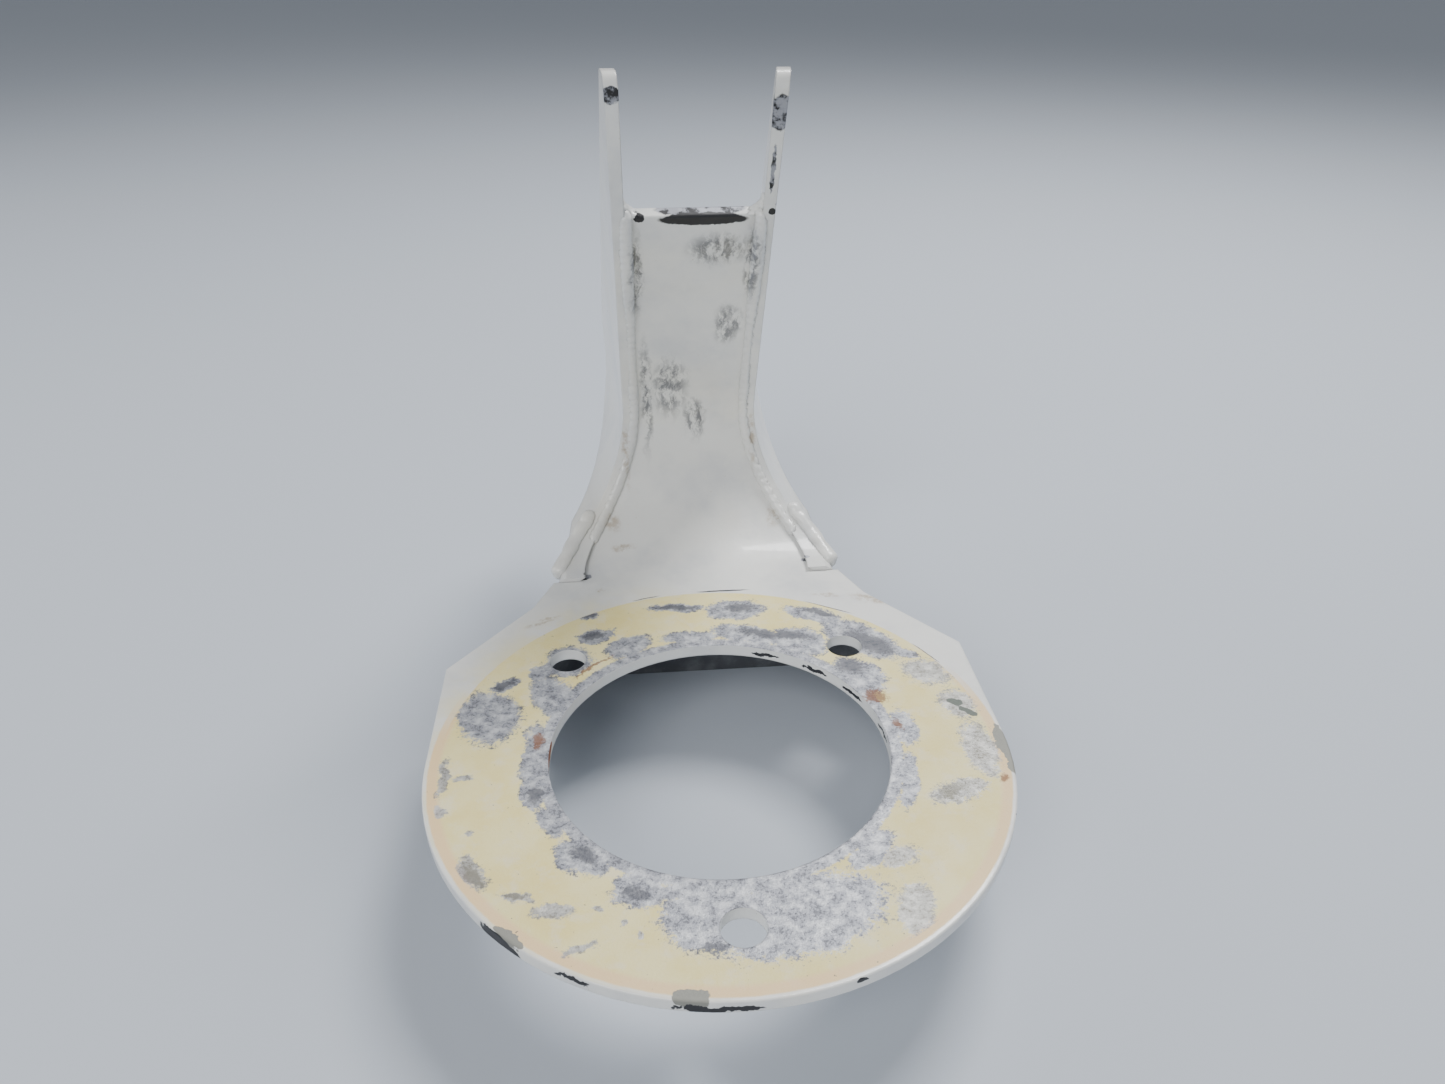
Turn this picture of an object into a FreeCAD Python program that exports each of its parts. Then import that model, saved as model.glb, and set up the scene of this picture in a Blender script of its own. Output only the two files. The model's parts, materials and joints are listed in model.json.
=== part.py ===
import FreeCAD, Part
import math
import os

import Sketcher
from FreeCAD import Placement, Rotation, Vector

# A welded sheet steel mounting bracket. A round bolting flange and the web of a forked arm are one
# bent sheet, two triangular cheek plates close the sides of the arm and stand above it as a fork,
# and a folded skirt stiffens the underside.
#
# Frame: millimetres, the origin on the axis of the pilot bore in the mating face (top) of the
# flange, +Z up out of that face, +Y towards the arm, +X to the right. The mating face is Z = 0.

SIZES = {
    # flange
    "flange_radius": 50.8,
    "sheet_thickness": 2.3,
    "pilot_radius": 29.8,
    "bolt_circle_radius": 38.7,
    "bolt_hole_radius": 3.5,
    "rear_hole_angle": 45.0,
    "shoulder_depth": 26.8,
    "root_half_width": 35.0,
    "root_depth": 47.2,
    "neck_half_width": 31.4,
    "bend_start": 55.9,
    "rim_rounding": 0.35,
    # web of the arm
    "bend_radius": 24.9,
    "web_lean": 29.0,
    "saddle_run": 47.3,
    # cheeks, whose front edges stand a step proud of the web
    "cheek_thickness": 2.3,
    "cheek_step": 1.0,
    "cheek_splay": 6.3,
    "cheek_spread": 3.5,
    "arm_half_width": 15.0,
    "flare_radius": 34.0,
    "flare_root_angle": 62.0,
    "flare_end_angle": 79.0,
    "ear_run": 77.4,
    "ear_tip_width": 6.5,
    "ear_rounding": 2.0,
    "back_slope": 43.0,
    "foot_slope": 28.0,
    "foot_run": 22.0,
    "foot_rise": 3.0,
    "heel_rounding": 15.0,
    # skirt
    "skirt_thickness": 2.3,
    "skirt_height": 21.0,
    "skirt_centre_depth": 54.6,
    "skirt_inset": 0.8,
    "skirt_end_inset": 0.6,
    "skirt_fold_radius": 2.5,
    # weld beads
    "web_bead_radius": 1.35,
    "saddle_fillet": 3.0,
    "root_bead_radius": 1.9,
    "skirt_bead_radius": 1.6,
}

doc = FreeCAD.newDocument("bracket")
sheet = doc.addObject("Spreadsheet::Sheet", "Sizes")
for row, (alias, number) in enumerate(SIZES.items(), start=1):
    sheet.set(f"A{row}", alias)
    sheet.set(f"B{row}", str(number))
    sheet.setAlias(f"B{row}", alias)
doc.recompute()


def size(alias):
    """The number that the sheet holds under an alias."""
    return float(getattr(sheet, alias))


def worth(expression):
    """The value of an expression on the sheet's sizes."""
    result = sheet.evalExpression(expression)
    return float(getattr(result, "Value", result))


def minus(expression):
    return f"-({expression})"


class Outline:
    """A closed chain of lines and arcs in a sketch, with each corner and radius bound to the sheet."""

    def __init__(self, sketch):
        self.sketch = sketch

    def bind(self, name, *where, expression):
        index = self.sketch.addConstraint(Sketcher.Constraint(name, *where, worth(expression)))
        self.sketch.setExpression(f"Constraints[{index}]", expression)

    def pin(self, geometry, end, corner):
        """Holds one end of a line or arc at a corner given as two expressions."""
        self.bind("DistanceX", -1, 1, geometry, end, expression=corner[0])
        self.bind("DistanceY", -1, 1, geometry, end, expression=corner[1])

    def chain(self, corners, arcs=None):
        """Draws the closed chain. arcs maps a side's number to its (radius, bulge): +1 to the left."""
        arcs = arcs or {}
        points = [Vector(worth(x), worth(y), 0) for x, y in corners]
        first = self.sketch.GeometryCount
        count = len(points)
        starts, ends = [], []
        for side in range(count):
            start, end = points[side], points[(side + 1) % count]
            if side in arcs:
                # A sketch keeps arcs anticlockwise, so one that bulges left is drawn backwards.
                radius, bulge = arcs[side]
                middle = middle_of_arc(start, end, worth(radius), bulge)
                forward = bulge < 0
                through = (start, middle, end) if forward else (end, middle, start)
                geometry = self.sketch.addGeometry(Part.Arc(*through))
                starts.append(1 if forward else 2)
                ends.append(2 if forward else 1)
                self.bind("Radius", geometry, expression=radius)
            else:
                self.sketch.addGeometry(Part.LineSegment(start, end))
                starts.append(1)
                ends.append(2)
        for side in range(count):
            after = (side + 1) % count
            self.sketch.addConstraint(
                Sketcher.Constraint("Coincident", first + side, ends[side], first + after, starts[after]))
        for side in range(count):
            self.pin(first + side, starts[side], corners[side])

    def circle(self, centre, radius):
        """Draws a circle about a centre given as two expressions."""
        middle = Vector(worth(centre[0]), worth(centre[1]), 0)
        geometry = self.sketch.addGeometry(Part.Circle(middle, Vector(0, 0, 1), worth(radius)))
        self.bind("Radius", geometry, expression=radius)
        self.pin(geometry, 3, centre)


def middle_of_arc(start, end, radius, bulge):
    """Halfway round the short arc that bulges to the left (+1) or right (-1) of its chord."""
    chord = end - start
    half = chord.Length / 2
    left = Vector(-chord.y, chord.x, 0).normalize()
    sagitta = radius - math.sqrt(max(radius ** 2 - half ** 2, 0))
    return (start + end) * 0.5 + left * (bulge * sagitta)


def plane(body, role):
    """One of a body's own origin planes."""
    return next(f for f in body.Origin.OriginFeatures if f.Role == role)


def new_body(name):
    body = doc.addObject("PartDesign::Body", name)
    body.Label = name
    return body


def new_sketch(body, name, role):
    """A sketch on one of the body's origin planes, and the outline that draws in it."""
    sketch = body.newObject("Sketcher::SketchObject", name)
    sketch.AttachmentSupport = [(plane(body, role), "")]
    sketch.MapMode = "FlatFace"
    doc.recompute()
    return sketch, Outline(sketch)


def new_pad(body, name, sketch, length, midplane=False, backwards=False):
    pad = body.newObject("PartDesign::Pad", name)
    pad.Profile = sketch
    pad.setExpression("Length", length)
    pad.Midplane = midplane
    pad.Reversed = backwards
    doc.recompute()
    body.Tip = pad
    return pad


def new_pocket(body, name, sketch, length, midplane=True):
    """A pocket that must take something away from the body."""
    before = body.Shape.Volume
    pocket = body.newObject("PartDesign::Pocket", name)
    pocket.Profile = sketch
    pocket.setExpression("Length", length)
    pocket.Midplane = midplane
    doc.recompute()
    body.Tip = pocket
    if body.Shape.Volume > before - 1e-3:
        raise RuntimeError(f"{name} cuts nothing")
    return pocket


def new_fillet(body, name, radius, chosen):
    """Rounds the edges of the body's tip that chosen(edge) accepts."""
    tip = body.Tip
    edges = [f"Edge{n}" for n, edge in enumerate(tip.Shape.Edges, start=1) if chosen(edge)]
    fillet = body.newObject("PartDesign::Fillet", name)
    fillet.Base = (tip, edges)
    fillet.setExpression("Radius", radius)
    doc.recompute()
    body.Tip = fillet
    return fillet


# ---- lines that several pieces share, as expressions on the sheet ----

REACH = "4 * Sizes.flange_radius"

# The web's front face in the YZ plane: an arc from the flange, then a straight leaning run.
LEAN = "Sizes.web_lean"
TANGENT_Y = f"Sizes.bend_start + Sizes.bend_radius * cos({LEAN})"
TANGENT_Z = f"Sizes.bend_radius * (1 + sin({LEAN}))"


def along_arm(run, depth="0"):
    """The point run up the arm from the end of its bend and depth behind the web's front face."""
    y = f"({TANGENT_Y}) - ({run}) * sin({LEAN}) + ({depth}) * cos({LEAN})"
    z = f"({TANGENT_Z}) + ({run}) * cos({LEAN}) + ({depth}) * sin({LEAN})"
    return y, z


SADDLE = along_arm("Sizes.saddle_run")

# A cheek seen along its splay: a straight run, spreading a little towards the eye, and below it a
# flare that opens towards the flange. Its own plane starts at the outer front edge by the saddle.
SPREAD = "Sizes.cheek_spread"
FLARE_HEIGHT = "Sizes.flare_radius * sin(Sizes.flare_root_angle)"
FLARE_MIDDLE = (f"({FLARE_HEIGHT} - ({SADDLE[1]})) * tan({SPREAD}) "
                f"+ Sizes.flare_radius / cos({SPREAD})")
EAR_TIP = along_arm("Sizes.ear_run", minus("Sizes.cheek_step"))
EAR_BACK = (f"({EAR_TIP[0]}) + Sizes.ear_tip_width", EAR_TIP[1])
CHEEK_TOP = f"({EAR_TIP[1]}) + Sizes.cheek_thickness"


def cheek_run(inward):
    """Three corners of a cheek face: its top, the top of its flare and the foot of its flare."""
    top = (f"(({CHEEK_TOP}) - ({SADDLE[1]})) * tan({SPREAD}) - ({inward}) / cos({SPREAD})", CHEEK_TOP)
    radius = f"(Sizes.flare_radius + ({inward}))"
    flare = (f"({FLARE_MIDDLE}) - {radius} * cos({SPREAD})",
             f"{FLARE_HEIGHT} + {radius} * sin({SPREAD})")
    foot = (f"({FLARE_MIDDLE}) - {radius} * cos(Sizes.flare_end_angle)",
            f"{FLARE_HEIGHT} - {radius} * sin(Sizes.flare_end_angle)")
    return top, flare, foot


def splay(sketch):
    """Turns a sketch on the XZ plane square to the splay of the right cheek."""
    sketch.AttachmentOffset = Placement(Vector(1, 0, 1), Rotation(Vector(0, 1, 0), -1))
    sketch.setExpression("AttachmentOffset.Base.x", "Sizes.arm_half_width")
    sketch.setExpression("AttachmentOffset.Base.z", minus(SADDLE[0]))
    sketch.setExpression("AttachmentOffset.Rotation.Angle", minus("Sizes.cheek_splay"))
    doc.recompute()


# ---- flange and web: one sheet, bent up at the rear ----

THICK = "Sizes.sheet_thickness"


def make_flange_and_web():
    body = new_body("flange_and_web")

    # The bent web, drawn wider than the arm and then trimmed to the inner faces of the cheeks.
    sketch, outline = new_sketch(body, "web_profile", "YZ_Plane")
    outline.chain(
        [("Sizes.bend_start", "0"), (TANGENT_Y, TANGENT_Z), SADDLE,
         along_arm("Sizes.saddle_run", THICK), along_arm("0", THICK),
         ("Sizes.bend_start", minus(THICK))],
        arcs={0: ("Sizes.bend_radius", -1), 4: (f"Sizes.bend_radius + {THICK}", 1)})
    new_pad(body, "web", sketch, "2 * Sizes.flange_radius", midplane=True)

    sketch, outline = new_sketch(body, "web_side", "XZ_Plane")
    splay(sketch)
    top, flare, foot = cheek_run("Sizes.cheek_thickness")
    outline.chain(
        [top, flare, foot, ("Sizes.flange_radius", foot[1]), ("Sizes.flange_radius", top[1])],
        arcs={1: ("Sizes.flare_radius + Sizes.cheek_thickness", -1)})
    side = new_pocket(body, "web_side_trim", sketch, REACH)
    mirrored = body.newObject("PartDesign::Mirrored", "web_other_side_trim")
    mirrored.Originals = [side]
    mirrored.MirrorPlane = (plane(body, "YZ_Plane"), [""])
    body.Tip = mirrored
    doc.recompute()

    # The flange: round in front, straight sides to the shoulders, then in to the neck of the arm.
    sketch, outline = new_sketch(body, "flange_outline", "XY_Plane")
    right = [("Sizes.flange_radius", "0"), ("Sizes.flange_radius", "Sizes.shoulder_depth"),
             ("Sizes.root_half_width", "Sizes.root_depth"),
             ("Sizes.neck_half_width", "Sizes.bend_start")]
    left = [(minus(x), y) for x, y in reversed(right)]
    front = ("0", minus("Sizes.flange_radius"))
    outline.chain(right + left + [front],
                  arcs={7: ("Sizes.flange_radius", -1), 8: ("Sizes.flange_radius", -1)})
    new_pad(body, "flange", sketch, THICK, backwards=True)

    sketch, outline = new_sketch(body, "bores", "XY_Plane")
    outline.circle(("0", "0"), "Sizes.pilot_radius")
    outline.circle(("0", minus("Sizes.bolt_circle_radius")), "Sizes.bolt_hole_radius")
    across = "Sizes.bolt_circle_radius * sin(Sizes.rear_hole_angle)"
    back = "Sizes.bolt_circle_radius * cos(Sizes.rear_hole_angle)"
    outline.circle((across, back), "Sizes.bolt_hole_radius")
    outline.circle((minus(across), back), "Sizes.bolt_hole_radius")
    new_pocket(body, "bolt_and_pilot_holes", sketch, f"4 * {THICK}")

    def on_rim(edge):
        """Whether an edge is part of the flange's outline, on its top or its underside."""
        box = edge.BoundBox
        in_a_hole = isinstance(edge.Curve, Part.Circle) and edge.Curve.Radius < size("flange_radius")
        return not in_a_hole and box.ZLength < 1e-6 and box.YMax < size("bend_start") - 1e-3

    new_fillet(body, "rim_rounding", "Sizes.rim_rounding", on_rim)
    return body


# ---- cheeks: the side plates of the arm, each ending in an eye ----


def make_cheek(name):
    """The right cheek, as a band across its splay cut to its outline in side view."""
    body = new_body(name)
    sketch, outline = new_sketch(body, name + "_section", "XZ_Plane")
    splay(sketch)
    top, flare, foot = cheek_run("0")
    inner_top, inner_flare, inner_foot = cheek_run("Sizes.cheek_thickness")
    outline.chain(
        [top, flare, foot, inner_foot, inner_flare, inner_top],
        arcs={1: ("Sizes.flare_radius", -1),
              3: ("Sizes.flare_radius + Sizes.cheek_thickness", 1)})
    new_pad(body, name + "_band", sketch, REACH, midplane=True)

    # Seen from the side it is a triangle with the web's bend cut out of its front: everything
    # outside that is cut away. Its back falls from the ear's tip to the heel, where it meets the
    # line that rises from the foot.
    foot = ("Sizes.bend_start + Sizes.foot_run", "Sizes.foot_rise")
    back, rise = "tan(Sizes.back_slope)", "tan(Sizes.foot_slope)"
    heel_y = (f"(({EAR_BACK[1]}) - {foot[1]} + ({EAR_BACK[0]}) * {back} + ({foot[0]}) * {rise})"
              f" / ({back} + {rise})")
    heel = (heel_y, f"{foot[1]} + ({heel_y} - ({foot[0]})) * {rise}")
    sketch, outline = new_sketch(body, name + "_side_view", "YZ_Plane")
    outline.chain(
        [("Sizes.bend_start", "Sizes.cheek_step"), along_arm("0", minus("Sizes.cheek_step")),
         EAR_TIP, EAR_BACK, heel, foot, ("Sizes.bend_start", "0")],
        arcs={0: ("Sizes.bend_radius - Sizes.cheek_step", -1)})
    frame = f"({CHEEK_TOP}) + 2 * Sizes.flange_radius"
    outline.chain([(minus(frame), minus(frame)), (frame, minus(frame)), (frame, frame),
                   (minus(frame), frame)])
    new_pocket(body, name + "_outline", sketch, REACH)

    def corner_at(*points):
        """The edges through the plate at corners of its side view."""
        places = [(worth(y), worth(z)) for y, z in points]
        return lambda edge: any(
            all(abs(v.Y - y) < 0.01 and abs(v.Z - z) < 0.01 for v in edge.Vertexes)
            for y, z in places)

    new_fillet(body, name + "_ear_rounding", "Sizes.ear_rounding", corner_at(EAR_TIP, EAR_BACK))
    new_fillet(body, name + "_heel_rounding", "Sizes.heel_rounding", corner_at(heel))
    return body


def mirror(source, name):
    """The left hand copy of a piece."""
    twin = doc.addObject("Part::Mirroring", name)
    twin.Label = name
    twin.Source = source
    twin.Normal = Vector(1, 0, 0)
    doc.recompute()
    return twin


# ---- skirt: a strip folded in three, on edge under the rear of the flange ----


def make_skirt():
    body = new_body("skirt")
    # The wings run parallel to the shoulders' rear edges, a little inside them. ALONG and ACROSS
    # are the parts of that edge's direction, towards the arm.
    across = "(Sizes.root_half_width - Sizes.flange_radius)"
    along = "(Sizes.root_depth - Sizes.shoulder_depth)"
    edge = f"hypot({across}; {along})"

    def wing_point(inset, run):
        """The point inset from the right shoulder's rear edge and a run along it."""
        return (f"Sizes.flange_radius + (({run}) * {across} - ({inset}) * {along}) / {edge}",
                f"Sizes.shoulder_depth + (({run}) * {along} + ({inset}) * {across}) / {edge}")

    def fold_point(inset, depth):
        """The point inset from that edge and at a depth behind the bore's axis."""
        start = wing_point(inset, "0")
        return f"{start[0]} + (({depth}) - ({start[1]})) * {across} / {along}", depth

    outer, inner = "Sizes.skirt_inset", "Sizes.skirt_inset + Sizes.skirt_thickness"
    back = "Sizes.skirt_centre_depth"
    right = [wing_point(inner, "Sizes.skirt_end_inset"), wing_point(outer, "Sizes.skirt_end_inset"),
             fold_point(outer, back)]
    right_inside = fold_point(inner, f"{back} - Sizes.skirt_thickness")
    corners = right + [(minus(x), y) for x, y in reversed(right)]
    corners += [(minus(right_inside[0]), right_inside[1]), right_inside]

    sketch, outline = new_sketch(body, "skirt_plan", "XY_Plane")
    sketch.AttachmentOffset = Placement(Vector(0, 0, -1), Rotation())
    sketch.setExpression("AttachmentOffset.Base.z", minus(THICK))
    outline.chain(corners)
    new_pad(body, "skirt_strip", sketch, "Sizes.skirt_height", backwards=True)

    def fold_at(depth):
        """The upright edges of the folds at a depth behind the bore's axis."""
        return lambda e: e.BoundBox.ZLength > 1 and abs(e.BoundBox.Center.y - depth) < 0.01

    depth = size("skirt_centre_depth")
    new_fillet(body, "fold_outside", "Sizes.skirt_fold_radius + Sizes.skirt_thickness", fold_at(depth))
    new_fillet(body, "fold_inside", "Sizes.skirt_fold_radius",
               fold_at(depth - size("skirt_thickness")))
    inside_run = [(worth(x), worth(y)) for x, y in (right[0], right_inside)]
    return body, inside_run


# ---- weld beads: tubes laid along the seams, less the sheets that they join ----


def bead(name, points, radius, joined):
    """A bead laid through points, with round ends, without what the joined pieces fill."""
    curve = Part.BSplineCurve()
    curve.interpolate(points)
    path = Part.Wire(curve.toShape())
    ring = Part.Wire(Part.makeCircle(radius, points[0], curve.tangent(curve.FirstParameter)[0]))
    metal = path.makePipeShell([ring], True, True)
    metal = metal.fuse([Part.makeSphere(radius, points[0]), Part.makeSphere(radius, points[-1])])
    return weld(name, metal, joined)


def weld(name, metal, joined):
    """A Part::Feature of the weld metal that lies outside the joined pieces."""
    for piece in joined:
        metal = metal.cut(piece.Shape)
    solids = sorted(metal.Solids, key=lambda solid: solid.Volume)
    feature = doc.addObject("Part::Feature", name)
    feature.Label = name
    feature.Shape = solids[-1]
    feature.Placement = Placement()
    return feature


def on_cheek(y, z, inward):
    """The point at y and z on the right cheek, inward from its outer face."""
    spread, splay_angle = math.radians(size("cheek_spread")), math.radians(size("cheek_splay"))
    radius = size("flare_radius") + inward
    height = worth(FLARE_HEIGHT)
    if z > height + radius * math.sin(spread):
        sideways = (z - worth(SADDLE[1])) * math.tan(spread) - inward / math.cos(spread)
    else:
        sideways = worth(FLARE_MIDDLE) - math.sqrt(radius ** 2 - (z - height) ** 2)
    x = (size("arm_half_width") + sideways / math.cos(splay_angle)
         + (y - worth(SADDLE[0])) * math.tan(splay_angle))
    return Vector(x, y, z)


WEB_BEAD_END = 60.0


def on_web(angle):
    """The point on the web's front face at an angle above its bend's centre, as y and z."""
    radius, turn = size("bend_radius"), math.radians(angle)
    return size("bend_start") + radius * math.cos(turn), radius * (1 + math.sin(turn))


def make_web_bead(name, joined):
    """The bead in the corner of the web's face and the right cheek, from the saddle to the foot."""
    lowest = -WEB_BEAD_END
    steps = 7
    seam = [(worth(SADDLE[0]), worth(SADDLE[1]))]
    seam += [on_web(size("web_lean") + (lowest - size("web_lean")) * k / steps)
             for k in range(steps + 1)]
    half_way = ((seam[0][0] + seam[1][0]) / 2, (seam[0][1] + seam[1][1]) / 2)
    seam.insert(1, half_way)
    inward = size("cheek_thickness")
    return bead(name, [on_cheek(y, z, inward) for y, z in seam], size("web_bead_radius"), joined)


def make_saddle_fillet(name, joined):
    """The fillet in the corner of the web's top edge and the right eye, through the web."""
    leg = size("saddle_fillet")
    lean = math.radians(size("web_lean"))
    up, back = Vector(0, -math.sin(lean), math.cos(lean)), Vector(0, math.cos(lean), math.sin(lean))
    corner = on_cheek(worth(SADDLE[0]), worth(SADDLE[1]), size("cheek_thickness"))
    sunk = Vector(size("cheek_thickness") / 2, 0, 0) - up * (size("sheet_thickness") / 2)
    in_web, up_eye = corner - Vector(leg, 0, 0), corner + up * leg
    middle = corner + (up - Vector(1, 0, 0)) * (leg * (1 - math.sqrt(0.5)))
    deep = corner + sunk
    edges = [Part.Arc(in_web, middle, up_eye).toShape(),
             Part.LineSegment(up_eye, deep + up * (leg + size("sheet_thickness") / 2)).toShape(),
             Part.LineSegment(deep + up * (leg + size("sheet_thickness") / 2), deep).toShape(),
             Part.LineSegment(deep, in_web + sunk - Vector(size("cheek_thickness") / 2, 0, 0)).toShape(),
             Part.LineSegment(in_web + sunk - Vector(size("cheek_thickness") / 2, 0, 0), in_web).toShape()]
    face = Part.Face(Part.Wire(edges))
    block = face.extrude(back * size("sheet_thickness"))
    return weld(name, block, joined)


def straight_runs(corners, radius):
    """Weld metal laid in straight runs between corners, round at each."""
    metal = Part.makeSphere(radius, corners[0])
    for start, end in zip(corners, corners[1:]):
        along = end - start
        metal = metal.fuse([Part.makeCylinder(radius, along.Length, start, along),
                            Part.makeSphere(radius, end)])
    return metal


# Where the bead round the cheek's foot changes direction, as angles on the web's bend.
FOOT_BEAD = (-80, -62, -48)


def make_root_bead(name, joined):
    """The bead round the outside of the right cheek's foot, where the web bends up."""
    corners = [on_cheek(*on_web(angle), 0) for angle in FOOT_BEAD]
    return weld(name, straight_runs(corners, size("root_bead_radius")), joined)


def make_skirt_bead(name, run, joined):
    """The bead in the corner between the skirt's inner face and the flange's underside."""
    right = [Vector(x, y, -size("sheet_thickness")) for x, y in run]
    corners = right + [Vector(-p.x, p.y, p.z) for p in reversed(right)]
    return weld(name, straight_runs(corners, size("skirt_bead_radius")), joined)


# ---- the assembly ----

flange_and_web = make_flange_and_web()
cheek_right = make_cheek("cheek_right")
cheek_left = mirror(cheek_right, "cheek_left")
skirt, skirt_inside = make_skirt()

weld_web_right = make_web_bead("weld_web_right", [flange_and_web, cheek_right])
weld_saddle_right = make_saddle_fillet("weld_saddle_right",
                                       [flange_and_web, cheek_right, weld_web_right])
weld_root_right = make_root_bead("weld_root_right", [flange_and_web, cheek_right])
weld_skirt = make_skirt_bead("weld_skirt", skirt_inside, [flange_and_web, skirt])

PIECES = [
    flange_and_web, cheek_left, cheek_right, skirt, weld_skirt,
    weld_web_right, mirror(weld_web_right, "weld_web_left"),
    weld_saddle_right, mirror(weld_saddle_right, "weld_saddle_left"),
    weld_root_right, mirror(weld_root_right, "weld_root_left"),
]

doc.recompute()
for made in doc.Objects:
    if "Invalid" in made.State or "Error" in made.State:
        raise RuntimeError(f"{made.Name} failed: {made.State}")
for piece in PIECES:
    if piece.Shape.isNull() or not piece.Shape.isValid():
        raise RuntimeError(f"{piece.Label} has no valid shape")

os.makedirs("parts", exist_ok=True)
for piece in PIECES:
    piece.Shape.exportStep(f"parts/{piece.Label}.step")
    print(f"{piece.Label}: {piece.Shape.Volume:.0f} mm3, {len(piece.Shape.Solids)} solid")
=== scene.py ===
"""A welded fork bracket in worn paint: white on the arm, bare and primed on its bolting face.

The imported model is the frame. Its plates keep their meshes and get their finishes here, and
the smooth weld solids are replaced by rippled beads laid in the same corners.
"""

from __future__ import annotations

import json
import logging
import math
from dataclasses import dataclass
from enum import Enum
from typing import Any, Sequence, Union

import bmesh
import bpy
from mathutils import Matrix, Vector, noise

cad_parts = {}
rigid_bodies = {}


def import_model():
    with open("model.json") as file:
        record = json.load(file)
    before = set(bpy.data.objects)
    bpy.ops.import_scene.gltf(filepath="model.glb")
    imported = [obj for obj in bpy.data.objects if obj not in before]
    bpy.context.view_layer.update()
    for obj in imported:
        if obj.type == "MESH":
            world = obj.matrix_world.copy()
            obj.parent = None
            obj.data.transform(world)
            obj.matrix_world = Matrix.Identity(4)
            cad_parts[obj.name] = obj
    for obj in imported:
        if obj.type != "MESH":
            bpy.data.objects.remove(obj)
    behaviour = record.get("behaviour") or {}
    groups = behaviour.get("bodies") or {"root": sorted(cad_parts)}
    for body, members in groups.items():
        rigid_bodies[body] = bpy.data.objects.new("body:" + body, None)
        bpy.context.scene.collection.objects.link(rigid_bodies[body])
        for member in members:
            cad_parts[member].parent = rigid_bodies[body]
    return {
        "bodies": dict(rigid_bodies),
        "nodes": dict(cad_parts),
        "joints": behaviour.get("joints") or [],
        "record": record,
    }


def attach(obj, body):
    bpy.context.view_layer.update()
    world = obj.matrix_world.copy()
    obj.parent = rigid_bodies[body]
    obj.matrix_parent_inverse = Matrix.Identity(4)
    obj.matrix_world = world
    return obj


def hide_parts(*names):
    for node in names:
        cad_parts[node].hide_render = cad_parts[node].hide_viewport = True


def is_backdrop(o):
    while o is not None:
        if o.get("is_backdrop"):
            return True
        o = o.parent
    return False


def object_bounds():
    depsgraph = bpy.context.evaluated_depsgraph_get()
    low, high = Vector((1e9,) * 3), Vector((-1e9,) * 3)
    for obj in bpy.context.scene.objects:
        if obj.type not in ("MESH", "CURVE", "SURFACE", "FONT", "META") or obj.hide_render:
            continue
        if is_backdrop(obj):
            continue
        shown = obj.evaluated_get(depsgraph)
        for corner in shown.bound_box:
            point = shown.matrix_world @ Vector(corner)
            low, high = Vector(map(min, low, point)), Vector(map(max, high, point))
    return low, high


log = logging.getLogger("bracket")

MM = 0.001
Colour = tuple[float, float, float]
Number = Union[float, "Value"]

WHITE: Colour = (0.80, 0.80, 0.77)
WHITE_HAZE: Colour = (0.56, 0.58, 0.61)
WHITE_AGED: Colour = (0.80, 0.75, 0.62)
CREAM: Colour = (0.84, 0.75, 0.38)
CREAM_DEEP: Colour = (0.80, 0.68, 0.28)
PEACH: Colour = (0.84, 0.58, 0.33)
ZINC: Colour = (0.33, 0.34, 0.38)
ZINC_BLOOM: Colour = (0.60, 0.61, 0.63)
STEEL_DARK: Colour = (0.085, 0.088, 0.105)
SCALE_BLACK: Colour = (0.02, 0.02, 0.023)
PRIMER_GREY: Colour = (0.25, 0.25, 0.22)
PRIMER_GREEN: Colour = (0.115, 0.135, 0.115)
RUST: Colour = (0.22, 0.085, 0.035)
TOE_BROWN: Colour = (0.42, 0.33, 0.22)
# The skirt's two greys are painted shade: dark tones that stand for the shade under the flange.
SKIRT_SHADE_DARK: Colour = (0.085, 0.09, 0.10)
SKIRT_SHADE_PALE: Colour = (0.17, 0.175, 0.185)


class Value:
    """A number that varies over a surface; arithmetic on it adds Math nodes."""

    def __init__(self, graph: Graph, socket: bpy.types.NodeSocket) -> None:
        """Wraps a socket of a graph."""
        self.graph = graph
        self.socket = socket

    def _math(self, operation: str, first: Number, second: Number) -> Value:
        """One Math node.

        Args:
            operation: The node's operation.
            first: Its first number.
            second: Its second number.

        Returns:
            The node's result.
        """
        made = self.graph.node("ShaderNodeMath", {"operation": operation}, {0: first, 1: second})
        return Value(self.graph, made.outputs[0])

    def __add__(self, other: Number) -> Value:
        """This plus another."""
        return self._math("ADD", self, other)

    def __radd__(self, other: Number) -> Value:
        """Another plus this."""
        return self._math("ADD", other, self)

    def __sub__(self, other: Number) -> Value:
        """This minus another."""
        return self._math("SUBTRACT", self, other)

    def __rsub__(self, other: Number) -> Value:
        """Another minus this."""
        return self._math("SUBTRACT", other, self)

    def __mul__(self, other: Number) -> Value:
        """This times another."""
        return self._math("MULTIPLY", self, other)

    def __rmul__(self, other: Number) -> Value:
        """Another times this."""
        return self._math("MULTIPLY", other, self)

    def least(self, other: Number) -> Value:
        """The smaller of this and another."""
        return self._math("MINIMUM", self, other)

    def most(self, other: Number) -> Value:
        """The larger of this and another."""
        return self._math("MAXIMUM", self, other)

    def ramp(self, low: float, high: float) -> Value:
        """Nought at low, one at high, and smooth between; low may be the larger.

        Args:
            low: Where the ramp starts.
            high: Where it ends.

        Returns:
            The smooth share, from 0 to 1.
        """
        lowest, highest = min(low, high), max(low, high)
        made = self.graph.node(
            "ShaderNodeMapRange", {"interpolation_type": "SMOOTHSTEP"},
            {"Value": self, "From Min": lowest, "From Max": highest})
        share = Value(self.graph, made.outputs[0])
        return share if high > low else 1.0 - share


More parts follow.
